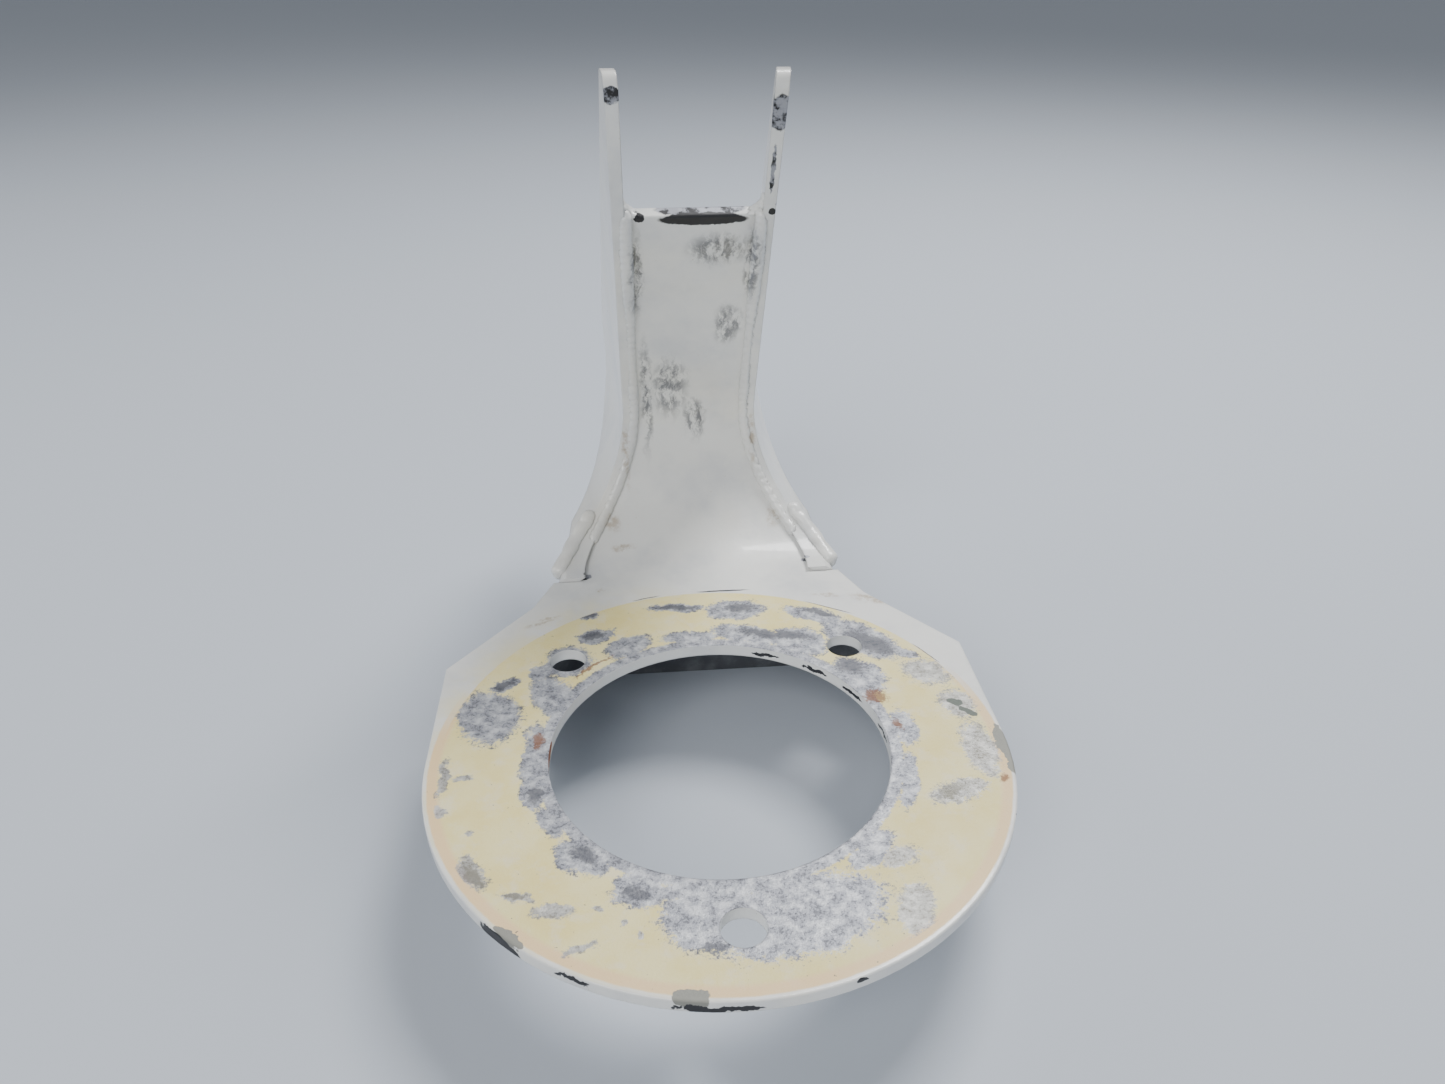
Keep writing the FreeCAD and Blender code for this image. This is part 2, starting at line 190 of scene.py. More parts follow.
@dataclass(frozen=True)
class Mark:
    """A patch, chip or stain: its middle and its half sizes, in millimetres."""

    x: float
    y: float
    wide: float
    deep: float
    turn: float = 0.0
    z: float = 0.0
    tall: float = 4.0


class Graph:
    """A material's nodes, built through one node-making method."""

    def __init__(self, name: str) -> None:
        """Starts a material of that name with an output and nothing else."""
        self.material = bpy.data.materials.new(name)
        self.material.use_nodes = True
        self.tree = self.material.node_tree
        self.tree.nodes.clear()
        self.turns: dict[tuple[str, float], bpy.types.NodeSocket] = {}

    def node(self, kind: str, settings: dict[str, Any] | None = None,
             inputs: dict[Any, Any] | None = None) -> bpy.types.Node:
        """Makes a node.

        Args:
            kind: The node's type.
            settings: Its settings, which are set first.
            inputs: A number, colour, Value or socket for each input, by name or place.

        Returns:
            The node.
        """
        made = self.tree.nodes.new(kind)
        for name, setting in (settings or {}).items():
            setattr(made, name, setting)
        for name, given in (inputs or {}).items():
            socket = made.inputs[name]
            given = given.socket if isinstance(given, Value) else given
            if isinstance(given, bpy.types.NodeSocket):
                self.tree.links.new(given, socket)
            else:
                socket.default_value = given
        return made

    def place(self) -> bpy.types.NodeSocket:
        """Object coordinates in millimetres."""
        where = self.node("ShaderNodeTexCoord").outputs["Object"]
        return self.vector("SCALE", where, scale=1.0 / MM)

    def vector(self, operation: str, first: Any, second: Any = (0.0, 0.0, 0.0),
               third: Any = (0.0, 0.0, 0.0), scale: float = 1.0) -> bpy.types.NodeSocket:
        """A Vector Math node's vector.

        Args:
            operation: The node's operation.
            first: Its first vector.
            second: Its second vector, where the operation has one.
            third: Its third vector, where the operation has one.
            scale: Its factor, where the operation has one.

        Returns:
            The vector's socket.
        """
        inputs = {0: first, 1: second, 2: third, 3: scale}
        return self.node("ShaderNodeVectorMath", {"operation": operation}, inputs).outputs[0]

    def turned(self, place: bpy.types.NodeSocket, turn: float) -> bpy.types.NodeSocket:
        """A place seen from axes that are turned about Z; each turn is made once.

        Args:
            place: Where, in millimetres.
            turn: The turn, in radians.

        Returns:
            The turned place.
        """
        if turn == 0.0:
            return place
        key = (place.node.name, turn)
        if key not in self.turns:
            made = self.node("ShaderNodeVectorRotate", {"rotation_type": "Z_AXIS"},
                             {"Vector": place, "Angle": -turn})
            self.turns[key] = made.outputs[0]
        return self.turns[key]

    def length(self, vector: bpy.types.NodeSocket) -> Value:
        """A vector's length."""
        made = self.node("ShaderNodeVectorMath", {"operation": "LENGTH"}, {0: vector})
        return Value(self, made.outputs["Value"])

    def parts(self, vector: bpy.types.NodeSocket) -> tuple[Value, Value, Value]:
        """A vector's three numbers."""
        made = self.node("ShaderNodeSeparateXYZ", inputs={0: vector})
        return (Value(self, made.outputs[0]), Value(self, made.outputs[1]),
                Value(self, made.outputs[2]))

    def cloud(self, place: bpy.types.NodeSocket, size: float, detail: float = 3.0,
              rough: float = 0.55) -> Value:
        """Noise.

        Args:
            place: Where, in millimetres.
            size: How large its blobs are, in millimetres.
            detail: How many finer layers it has.
            rough: How strong the finer layers are.

        Returns:
            Noise of about 0.5 on average.
        """
        made = self.node("ShaderNodeTexNoise", inputs={
            "Vector": place, "Scale": 1.0 / size, "Detail": detail, "Roughness": rough})
        return Value(self, made.outputs["Fac"])

    def ragged(self, place: bpy.types.NodeSocket, size: float,
               reach: float) -> bpy.types.NodeSocket:
        """A place shifted by noise, so that what is drawn on it has ragged edges.

        Args:
            place: Where, in millimetres.
            size: How large the noise is, in millimetres.
            reach: How far it shifts a place, in millimetres.

        Returns:
            The shifted place.
        """
        made = self.node("ShaderNodeTexNoise", inputs={
            "Vector": place, "Scale": 1.0 / size, "Detail": 3.0, "Roughness": 0.65})
        centred = self.vector("SUBTRACT", made.outputs["Color"], (0.5, 0.5, 0.5))
        return self.vector("ADD", place, self.vector("SCALE", centred, scale=2.0 * reach))

    def distance(self, place: bpy.types.NodeSocket, mark: Mark) -> Value:
        """How far a place is from a mark.

        Args:
            place: Where, in millimetres.
            mark: The mark.

        Returns:
            The distance in the mark's own half sizes, so its edge is at 1.
        """
        turn = math.radians(mark.turn)
        across = mark.x * math.cos(turn) + mark.y * math.sin(turn)
        along = mark.y * math.cos(turn) - mark.x * math.sin(turn)
        reach = self.vector(
            "MULTIPLY_ADD", self.turned(place, turn),
            (1.0 / mark.wide, 1.0 / mark.deep, 1.0 / mark.tall),
            third=(-across / mark.wide, -along / mark.deep, -mark.z / mark.tall))
        return self.length(reach)

    def nearest(self, place: bpy.types.NodeSocket, marks: Sequence[Mark]) -> Value:
        """How far a place is from the nearest of some marks.

        Args:
            place: Where, in millimetres.
            marks: The marks.

        Returns:
            The distance in the nearest mark's own half sizes.
        """
        best = self.distance(place, marks[0])
        for mark in marks[1:]:
            best = best.least(self.distance(place, mark))
        return best

    def mix(self, share: Number, first: Any, second: Any) -> bpy.types.NodeSocket:
        """A mix of two colours.

        Args:
            share: The second's share.
            first: The first colour.
            second: The second colour.

        Returns:
            The mixed colour's socket.
        """
        made = self.node("ShaderNodeMix", {"data_type": "RGBA"}, {
            "Factor": share, 6: self.colour(first), 7: self.colour(second)})
        return made.outputs[2]

    @staticmethod
    def colour(given: Any) -> Any:
        """A plain colour with its alpha, or the given socket as it is."""
        return (*given, 1.0) if isinstance(given, tuple) else given

    def rounded_normal(self, radius: float, height: Value, depth: float) -> bpy.types.NodeSocket:
        """The surface's normal with eased edges and a relief.

        Args:
            radius: The easing of the edges, in millimetres.
            height: The relief, from 0 to 1.
            depth: How deep the relief is, in millimetres.

        Returns:
            The normal's socket.
        """
        eased = self.node("ShaderNodeBevel", {"samples": 6}, {"Radius": radius * MM})
        bump = self.node("ShaderNodeBump", inputs={
            "Strength": 1.0, "Distance": depth * MM, "Height": height,
            "Normal": eased.outputs[0]})
        return bump.outputs[0]

    def surface(self, links: dict[str, Any], constants: dict[str, Any]) -> bpy.types.NodeSocket:
        """A shader.

        Args:
            links: What varies over the surface, by the shader's socket.
            constants: What is the same all over, by the shader's socket.

        Returns:
            The shader's socket.
        """
        made = self.node("ShaderNodeBsdfPrincipled", inputs={**constants, **links})
        return made.outputs[0]

    def join(self, share: Value, first: bpy.types.NodeSocket,
             second: bpy.types.NodeSocket) -> bpy.types.NodeSocket:
        """Two shaders side by side.

        Args:
            share: Where the second is, from 0 to 1.
            first: The first shader.
            second: The second shader.

        Returns:
            The joined shader's socket.
        """
        return self.node("ShaderNodeMixShader", inputs={0: share, 1: first, 2: second}).outputs[0]

    def finished(self, surface: bpy.types.NodeSocket) -> bpy.types.Material:
        """The material with that surface."""
        self.node("ShaderNodeOutputMaterial", inputs={"Surface": surface})
        return self.material


@dataclass
class Layers:
    """The state of a finish while layers are laid on it."""

    graph: Graph
    colour: Any
    rough: Number
    metal: Number
    coat: Number
    height: Number

    def lay(self, share: Number, colour: Any, rough: float, metal: float = 0.0,
            coat: float = 0.0, height: float | None = None) -> None:
        """Lays one layer over the rest.

        Args:
            share: Where the layer is, from 0 to 1.
            colour: Its colour.
            rough: Its roughness.
            metal: How metallic it is.
            coat: Its clear gloss.
            height: Its surface's height, or None to leave the height alone.
        """
        self.colour = self.graph.mix(share, self.colour, colour)
        self.rough = self._over(share, self.rough, rough)
        self.metal = self._over(share, self.metal, metal)
        self.coat = self._over(share, self.coat, coat)
        if height is not None:
            self.height = self._over(share, self.height, height)

    @staticmethod
    def _over(share: Number, below: Number, above: float) -> Number:
        """What is above by its share, and what is below by the rest."""
        return below * (1.0 - share) + share * above

    def tint(self, share: Number, colour: Any) -> None:
        """Changes only the colour, by a share."""
        self.colour = self.graph.mix(share, self.colour, colour)

    def surface(self, edge_radius: float, relief: float) -> bpy.types.NodeSocket:
        """The shader of all layers.

        Args:
            edge_radius: The easing of the edges, in millimetres.
            relief: The depth of the relief, in millimetres.

        Returns:
            The shader's socket.
        """
        normal = self.graph.rounded_normal(edge_radius, self.height, relief)
        return self.graph.surface(
            {"Base Color": self.colour, "Roughness": self.rough, "Metallic": self.metal,
             "Coat Weight": self.coat, "Normal": normal},
            {"Coat Roughness": 0.08, "IOR": 1.5})


# ---- marks, in millimetres from the middle of the bolting face ----

# Bare zinc on the bolting face: round the holes, along the bore and where parts have rubbed.
BARE = (
    Mark(-41.2, 11.5, 5.8, 7.6, 15), Mark(-39.0, 20.8, 3.0, 1.6, 30), Mark(-32.6, 23.6, 2.2, 2.6),
    Mark(-27.4, 27.0, 4.9, 4.9), Mark(-23.2, 42.4, 2.5, 1.5, 15), Mark(-22.0, 35.0, 4.0, 2.4, 15),
    Mark(-15.5, 30.8, 5.2, 3.2, 30), Mark(-5.2, 43.6, 6.0, 1.6), Mark(6.9, 42.0, 6.4, 3.4),
    Mark(-3.0, 32.8, 6.0, 2.2), Mark(8.5, 33.0, 7.5, 3.2, -15), Mark(18.6, 29.6, 6.5, 4.4, -30),
    Mark(23.0, 38.8, 6.8, 2.6, -30), Mark(31.0, 29.6, 9.0, 4.8, -45),
    Mark(38.6, 24.6, 3.4, 1.6, -30), Mark(28.4, 17.8, 6.2, 4.4, -60), Mark(33.4, 2.0, 2.6, 5.2),
    Mark(-29.0, 15.6, 4.2, 7.6, 30), Mark(-31.8, 0.0, 2.7, 8.5), Mark(-32.0, -9.0, 2.2, 4.0, 15),
    Mark(-28.6, -15.6, 2.2, 3.6, 30), Mark(-23.4, -23.4, 5.0, 3.4, -45),
    Mark(-14.6, -30.6, 4.4, 3.8, -15), Mark(-4.0, -36.4, 8.0, 6.8), Mark(8.6, -37.2, 13.5, 7.4, 15),
    Mark(0.0, -31.0, 14.0, 2.6), Mark(21.5, -25.8, 5.2, 2.4, 45), Mark(31.0, -11.2, 1.8, 7.0, -15),
)

# Thinner spots, where the primer is only half gone.
THIN = (
    Mark(41.4, 17.8, 5.2, 4.2, -30), Mark(45.0, 8.0, 3.6, 4.6, 15), Mark(45.4, -4.6, 3.2, 8.2),
    Mark(38.8, -14.6, 6.2, 2.4, 15), Mark(25.6, -37.2, 3.0, 5.6, -15),
    Mark(-40.0, -25.4, 2.0, 4.0, 30), Mark(-32.9, -30.4, 3.4, 0.9, -15),
    Mark(-27.0, -33.6, 3.6, 1.5), Mark(-23.5, -40.3, 2.8, 1.1, 15), Mark(-41.3, -16.8, 0.8, 0.8),
    Mark(-20.5, -33.6, 0.8, 0.8), Mark(-47.2, -3.6, 1.1, 5.0), Mark(-46.6, -11.4, 0.9, 1.8, 15),
    Mark(-43.8, -4.4, 2.2, 0.9), Mark(-17.0, -36.5, 0.6, 0.8), Mark(-14.8, -38.4, 0.5, 0.9),
    Mark(-10.0, -36.2, 2.2, 0.7, 15), Mark(25.2, -28.0, 4.2, 2.2, 30),
)

# Darker metal inside the bare places.
SCORCHED = (
    Mark(-39.4, 20.8, 2.6, 1.2, 30), Mark(-36.8, 18.4, 1.6, 1.2), Mark(-23.2, 42.4, 2.2, 1.1, 15),
    Mark(-22.6, 35.4, 3.0, 1.4, 15), Mark(-5.6, 43.8, 5.4, 1.0), Mark(8.4, 42.8, 4.0, 1.8),
    Mark(14.0, 32.6, 10.0, 1.6, -15), Mark(24.0, 39.8, 5.8, 1.0, -30),
    Mark(32.4, 28.2, 7.2, 3.0, -45), Mark(27.2, 20.8, 3.0, 3.4, -45),
    Mark(37.6, -14.4, 3.0, 1.8, 15), Mark(41.8, 23.6, 1.6, 0.9, -15),
    Mark(-31.6, -9.0, 1.3, 2.6, 15), Mark(-23.4, -22.8, 3.2, 1.6, -45),
    Mark(-33.2, -30.2, 2.4, 0.6, -15), Mark(-4.6, -42.0, 3.6, 1.4, 15),
    Mark(-39.8, -25.8, 1.4, 3.2, 30), Mark(-15.4, -31.2, 2.4, 1.8, -15),
)

# Rusty spots on the bolting face.
RUSTED = (
    Mark(30.4, 11.6, 2.6, 2.8, -30), Mark(32.6, 3.2, 1.0, 2.2), Mark(-31.6, 4.0, 1.5, 2.6),
    Mark(-22.6, 24.8, 6.0, 0.5, 45), Mark(47.2, -12.2, 0.9, 1.6),
)

# Chips through the paint on the rim, down to black scale.
BLACK_CHIPS = (
    Mark(-35.2, -36.8, 4.9, 0.95, -45, -1.4, 1.2), Mark(-24.3, -44.8, 3.2, 0.8, -30, -0.8, 0.55),
    Mark(-7.0, -50.5, 8.4, 0.8, 0, -1.5, 0.75), Mark(46.6, -20.4, 0.6, 1.1, -15, -0.6, 0.5),
    Mark(15.4, -48.5, 0.9, 0.6, 15, -0.6, 0.5), Mark(20.6, 21.5, 3.2, 0.7, -45, -1.2, 0.45),
    Mark(26.4, 13.8, 3.4, 0.7, -60, -1.3, 0.4), Mark(11.4, 27.5, 3.0, 0.7, -30, -1.2, 0.35),
    Mark(29.8, 2.4, 0.6, 3.2, 0, -1.1, 0.35),
)

# A chip in the bore's wall with rust in it.
BROWN_CHIPS = (Mark(-29.9, 0.9, 0.9, 3.6, 0, -0.9, 1.1),)

# Chips that stop at the grey primer under the white.
PRIMER_CHIPS = (
    Mark(49.9, -5.0, 1.3, 6.8, 0, 0.0, 3.2), Mark(-33.4, -37.4, 3.0, 1.0, -45, 0.0, 1.2),
    Mark(-8.4, -49.4, 2.7, 1.5, 0, 0.0, 1.6),
)

# Chips on the bolting face that stop at a greenish undercoat.
GREEN_CHIPS = (Mark(44.6, 8.2, 1.6, 1.0, -30), Mark(46.4, 5.4, 2.0, 0.8, -45))

# Cracks in the paint where the bolting face's edge meets the shoulders, drawn black as the painted
# shadow of the thick paint edge.
CRACK_SHADOWS = (
    Mark(5.0, 49.5, 5.6, 0.28), Mark(-11.5, 48.0, 3.0, 0.12, 15), Mark(26.6, 41.2, 5.2, 0.14, -30),
    Mark(43.0, 23.6, 3.8, 0.12, -60),
)

# Grey smears on the web.
SMEARS = (
    Mark(-10.9, 62.0, 1.3, 9.0, 0, 66.0, 11.0), Mark(-9.6, 75.0, 1.2, 30.0, 0, 34.0, 14.0),
    Mark(-4.2, 79.0, 3.8, 30.0, 0, 36.0, 8.0), Mark(1.2, 83.0, 2.4, 30.0, 0, 27.0, 5.0),
    Mark(11.4, 60.0, 1.4, 8.0, 0, 68.0, 9.0), Mark(7.6, 69.0, 2.8, 30.0, 0, 53.0, 4.4),
    Mark(5.0, 58.0, 5.5, 9.0, 0, 71.0, 3.4),
)

# Brown stains along the weld toes and on the shoulders.
TOES = (
    Mark(-14.4, 82.0, 0.9, 14.0, 0, 19.0, 8.0), Mark(14.6, 84.0, 0.9, 14.0, 0, 22.0, 8.0),
    Mark(-19.4, 75.0, 2.6, 6.5, 15, 5.0, 3.4), Mark(19.8, 75.0, 2.0, 6.5, -15, 5.0, 3.0),
    Mark(-16.0, 66.0, 3.2, 1.4, 0, 1.2, 2.4), Mark(36.0, 43.5, 4.4, 1.6, -30),
    Mark(27.0, 46.0, 3.0, 0.8, -15), Mark(-33.0, 41.0, 4.0, 0.9, 30), Mark(-21.0, 52.0, 1.4, 0.9),
)

# Places where the arm's edges are bare.
BARE_EDGES = (
    Mark(1.4, 56.6, 8.6, 2.2, 0, 79.0, 1.8), Mark(15.6, 53.0, 0.9, 1.4, 0, 81.0, 0.9),
    Mark(13.9, 43.2, 1.9, 3.4, 0, 97.6, 3.6), Mark(-13.9, 41.2, 1.7, 1.6, 0, 100.6, 1.6),
    Mark(13.6, 48.6, 0.4, 4.0, 0, 87.5, 6.0), Mark(-24.5, 57.5, 1.5, 0.8, 30, 0.0, 1.2),
    Mark(25.0, 60.0, 1.2, 0.7, -15, 0.5, 1.2),
)

# Places where the arm's edges are black scale.
BLACK_EDGES = (
    Mark(1.8, 55.0, 8.4, 1.8, 0, 77.6, 1.3), Mark(-9.9, 55.4, 1.0, 1.6, 0, 78.0, 0.9),
    Mark(14.2, 53.4, 0.8, 1.2, 0, 79.3, 0.8),
)


@dataclass(frozen=True)
class WhitePaint:
    """Gloss white brushed over welded steel: slightly wavy, hazed, smeared and chipped."""

    name: str = "arm_white"
    edge_radius: float = 0.45
    relief: float = 0.16

    def base(self, graph: Graph, place: bpy.types.NodeSocket) -> Layers:
        """The paint with its haze, smears and chips.

        Args:
            graph: The material's graph.
            place: Where, in millimetres.

        Returns:
            The layers so far.
        """
        sag = graph.cloud(place, 7.0, 2.0, 0.45)
        peel = graph.cloud(place, 0.9, 2.0, 0.5)
        layers = Layers(graph, WHITE, 0.24 + graph.cloud(place, 5.0) * 0.14, 0.0, 0.55,
                        0.45 + (sag - 0.5) * 1.6 + (peel - 0.5) * 0.16)
        layers.tint(graph.cloud(place, 16.0, 4.0, 0.6).ramp(0.42, 0.72) * 0.55, WHITE_HAZE)
        layers.tint(graph.cloud(place, 26.0, 3.0, 0.5).ramp(0.50, 0.75) * 0.35, WHITE_AGED)
        loose = graph.ragged(graph.ragged(place, 6.0, 1.6), 1.2, 0.6)
        dots = graph.cloud(place, 0.7, 3.0, 0.7)
        grime = graph.cloud(place, 2.2, 4.0, 0.7)
        streak = graph.cloud(graph.vector("MULTIPLY", loose, (1.6, 0.5, 0.5)), 2.0, 5.0, 0.7)
        smear = graph.nearest(loose, SMEARS).ramp(1.4, 0.5) * streak.ramp(0.38, 0.60)
        layers.tint(smear * 0.85, STEEL_DARK)
        toe = graph.nearest(loose, TOES).ramp(1.2, 0.5) * grime.ramp(0.38, 0.62)
        layers.tint(toe * 0.75, TOE_BROWN)
        layers.tint(dots.ramp(0.715, 0.76) * 0.7, TOE_BROWN)
        edge = graph.nearest(graph.ragged(place, 1.6, 0.7), BARE_EDGES).ramp(1.05, 0.92)
        layers.lay(edge, graph.mix(grime.ramp(0.45, 0.58), ZINC, SCALE_BLACK), 0.45, 0.3)
        black = graph.nearest(graph.ragged(place, 1.6, 0.5), BLACK_EDGES).ramp(1.05, 0.92)
        layers.lay(black, SCALE_BLACK, 0.40, 0.2)
        return layers

    def material(self) -> bpy.types.Material:
        """The finished material."""
        graph = Graph(self.name)
        paint = self.base(graph, graph.place())
        return graph.finished(paint.surface(self.edge_radius, self.relief))


@dataclass(frozen=True)
class FlangeFinish(WhitePaint):
    """White paint that stops at a masked circle, with worn cream primer and bare zinc inside it."""

    name: str = "flange_worn"
    rim_radius: float = 50.8
    bore_radius: float = 29.8
    mask_inset: float = 1.8
    lip_inset: float = 0.7

    def material(self) -> bpy.types.Material:
        """The finished material."""
        graph = Graph(self.name)
        place = graph.place()
        face = self._face(graph, place)
        radius = self._radius(graph, graph.ragged(place, 2.4, 0.16))
        mask_radius = self.rim_radius - self.mask_inset
        lip_radius = self.rim_radius - self.lip_inset
        inside = radius.ramp(mask_radius + 0.12, mask_radius - 0.22)
        front = graph.parts(place)[1].ramp(22.0, 4.0)
        lip = radius.ramp(lip_radius + 0.15, lip_radius - 0.25) * front
        paint = self._paint(graph, place, face)
        primer = self._primer(graph, place, inside)
        self._bare(graph, place, primer, inside)
        return graph.finished(graph.join(
            face * inside.most(lip), paint.surface(self.edge_radius, self.relief),
            primer.surface(self.edge_radius, self.relief)))

    @staticmethod
    def _face(graph: Graph, place: bpy.types.NodeSocket) -> Value:
        """Where the bolting face is: level, and at nought height.

        Args:
            graph: The material's graph.
            place: Where, in millimetres.

        Returns:
            The face's share, from 0 to 1.
        """
        normal = graph.node("ShaderNodeNewGeometry").outputs["Normal"]
        level = graph.parts(normal)[2].ramp(0.85, 0.97)
        height = graph.parts(place)[2]
        return level * height.ramp(-0.4, -0.2) * height.ramp(0.4, 0.2)

    @staticmethod
    def _radius(graph: Graph, place: bpy.types.NodeSocket) -> Value:
        """The distance from the flange's axis, in millimetres."""
        return graph.length(graph.vector("MULTIPLY", place, (1.0, 1.0, 0.0)))

    def _paint(self, graph: Graph, place: bpy.types.NodeSocket, face: Value) -> Layers:
        """The white paint, aged beside the circle, chipped on the rim, and cracked at the mask with
        a black painted shadow in the crack.

        Args:
            graph: The material's graph.
            place: Where, in millimetres.
            face: Where the bolting face is.

        Returns:
            The layers of the paint.
        """
        layers = self.base(graph, place)
        fade = graph.cloud(place, 9.0, 3.0, 0.6).ramp(0.30, 0.62)
        leftward = graph.parts(place)[0].ramp(8.0, -30.0)
        aged = face * self._radius(graph, place).ramp(58.0, 47.0) * leftward * fade
        layers.tint(aged * 0.6, CREAM)
        near = graph.ragged(graph.ragged(place, 4.5, 1.3), 1.2, 0.5)
        layers.lay(graph.nearest(near, PRIMER_CHIPS).ramp(1.04, 0.96), PRIMER_GREY, 0.50)
        layers.lay(graph.nearest(near, BLACK_CHIPS).ramp(1.05, 0.95), SCALE_BLACK, 0.38, 0.2)
        layers.lay(graph.nearest(near, BROWN_CHIPS).ramp(1.05, 0.95), RUST, 0.60)
        # The black in the crack is painted shadow of the thick paint edge.
        crack_shadow = graph.nearest(graph.ragged(place, 2.6, 0.22), CRACK_SHADOWS).ramp(1.15, 0.8)
        layers.lay(crack_shadow * face, SCALE_BLACK, 0.6)
        return layers

    def _primer(self, graph: Graph, place: bpy.types.NodeSocket, inside: Value) -> Layers:
        """The cream primer inside the masked circle, and the peach line round its front.

        Args:
            graph: The material's graph.
            place: Where, in millimetres.
            inside: Where the masked circle is.

        Returns:
            The layers of the primer.
        """
        tone = graph.mix(graph.cloud(place, 11.0, 4.0, 0.6).ramp(0.36, 0.68), CREAM, CREAM_DEEP)
        pale = graph.cloud(place, 4.0, 4.0, 0.7).ramp(0.48, 0.7)
        cream = graph.mix(pale * 0.45, tone, WHITE_AGED)
        edge = self._radius(graph, place).ramp(47.6, 48.8) * graph.parts(place)[1].ramp(26.0, 6.0)
        cream = graph.mix(edge.most(1.0 - inside) * 0.75, cream, PEACH)
        pits = graph.cloud(place, 0.5, 3.0, 0.7)
        return Layers(graph, cream, 0.50, 0.0, 0.06, 0.5 + (pits - 0.5) * 0.6)

    def _bare(self, graph: Graph, place: bpy.types.NodeSocket, layers: Layers,
              inside: Value) -> None:
        """Bare and half-bare metal inside the masked circle, with its rust and dark spots.

        Args:
            graph: The material's graph.
            place: Where, in millimetres.
            layers: The layers to lay on.
            inside: Where the masked circle is.
        """
        loose = graph.ragged(graph.ragged(place, 5.0, 1.9), 1.1, 0.75)
        grain = graph.cloud(place, 0.55, 4.0, 0.75)
        blot = graph.cloud(place, 2.4, 5.0, 0.7)
        rim = (self._radius(graph, place) - self.bore_radius) * 0.45
        gone = graph.nearest(loose, BARE).least(rim) + (grain - 0.5) * 0.9 + (blot - 0.5) * 0.7
        half = graph.nearest(loose, THIN) + (grain - 0.5) * 1.3 + (blot - 0.5) * 0.9
        bare = inside * gone.ramp(1.08, 0.90).most(half.ramp(1.05, 0.72) * 0.85)
        bloom = graph.mix(blot.ramp(0.44, 0.66), ZINC, ZINC_BLOOM)
        speck = (blot + (grain - 0.5) * 1.1).ramp(0.46, 0.34)
        tone = graph.mix(speck * 0.7, bloom, STEEL_DARK)
        dark = graph.nearest(loose, SCORCHED) + (grain - 0.5) * 1.2
        tone = graph.mix(dark.ramp(1.15, 0.55) * 0.78, tone, STEEL_DARK)
        layers.lay(bare, tone, 0.46, 0.35)
        rust = (graph.nearest(loose, RUSTED) + (grain - 0.5) * 1.6).ramp(1.0, 0.45)
        layers.lay(rust * 0.8, RUST, 0.75)
        fleck = graph.cloud(place, 0.8, 2.0, 0.6).ramp(0.715, 0.75)
        layers.lay(fleck * 0.8, STEEL_DARK, 0.5, 0.2)
        sharp = graph.ragged(graph.ragged(place, 4.5, 1.3), 1.2, 0.5)
        layers.lay(graph.nearest(sharp, GREEN_CHIPS).ramp(1.06, 0.94), PRIMER_GREEN, 0.55)
        layers.lay(graph.nearest(sharp, PRIMER_CHIPS).ramp(1.04, 0.96), PRIMER_GREY, 0.50)


@dataclass(frozen=True)
class SkirtPaintedShade:
    """The skirt's dark grey, a painted shade that stands for the shade under the flange; uneven,
    and scuffed along its folds and edges.
    """

    name: str = "skirt_painted_shade"
    edge_radius: float = 0.4
    relief: float = 0.08

    def material(self) -> bpy.types.Material:
        """The finished material."""
        graph = Graph(self.name)
        place = graph.place()
        mottle = graph.cloud(place, 8.0, 5.0, 0.62)
        grain = graph.cloud(place, 0.35, 3.0, 0.7)
        # These dark grey tones are painted shade for the shade under the flange.
        tone = graph.mix(mottle.ramp(0.38, 0.68), SKIRT_SHADE_DARK, SKIRT_SHADE_PALE)
        layers = Layers(graph, tone, 0.52 + (mottle - 0.5) * 0.25, 0.05, 0.0,
                        0.5 + (grain - 0.5) * 0.7)
        scratch = graph.cloud(graph.vector("MULTIPLY", place, (0.25, 0.25, 2.2)), 0.8, 4.0, 0.7)
        layers.lay(scratch.ramp(0.66, 0.72) * 0.6, ZINC, 0.40, 0.4, 0.0, 0.4)
        white = graph.cloud(place, 3.0, 5.0, 0.7) + graph.parts(place)[2].ramp(-7.0, -2.6) * 0.22
        layers.lay(white.ramp(0.72, 0.80) * 0.85, WHITE_HAZE, 0.35, 0.0, 0.2, 0.6)
        return graph.finished(layers.surface(self.edge_radius, self.relief))


class Plane(Enum):
    """The plane that a seam runs round its hub in."""

    SIDE = (1, 2)
    LEVEL = (0, 1)


@dataclass(frozen=True)
class Seam:
    """One weld bead: its CAD node, and the hub that its ripples fan out from."""

    node: str
    finish: str
    plane: Plane
    hub: tuple[float, float]
    pitch: float
    ripple: float
    lump: float


# The web beads' ripples fan out from a point in front of the arm; the rest from their own middles.
ARM_HUB = (30.0, 45.0)
ROOT_HUB = (45.0, 10.0)
FLANGE_HUB = (0.0, 0.0)


SEAMS = (
    Seam("weld_web_left", "white_paint", Plane.SIDE, ARM_HUB, 2.0, 0.14, 0.22),
    Seam("weld_web_right", "white_paint", Plane.SIDE, ARM_HUB, 2.0, 0.14, 0.22),
    Seam("weld_saddle_left", "white_paint", Plane.SIDE, ARM_HUB, 1.6, 0.04, 0.10),
    Seam("weld_saddle_right", "white_paint", Plane.SIDE, ARM_HUB, 1.6, 0.04, 0.10),
    Seam("weld_root_left", "white_paint", Plane.SIDE, ROOT_HUB, 2.6, 0.22, 0.36),
    Seam("weld_root_right", "white_paint", Plane.SIDE, ROOT_HUB, 2.6, 0.22, 0.36),
    # The skirt's bead takes the skirt's painted-shade grey.
    Seam("weld_skirt", "grey_primer", Plane.LEVEL, FLANGE_HUB, 2.4, 0.16, 0.25),
)


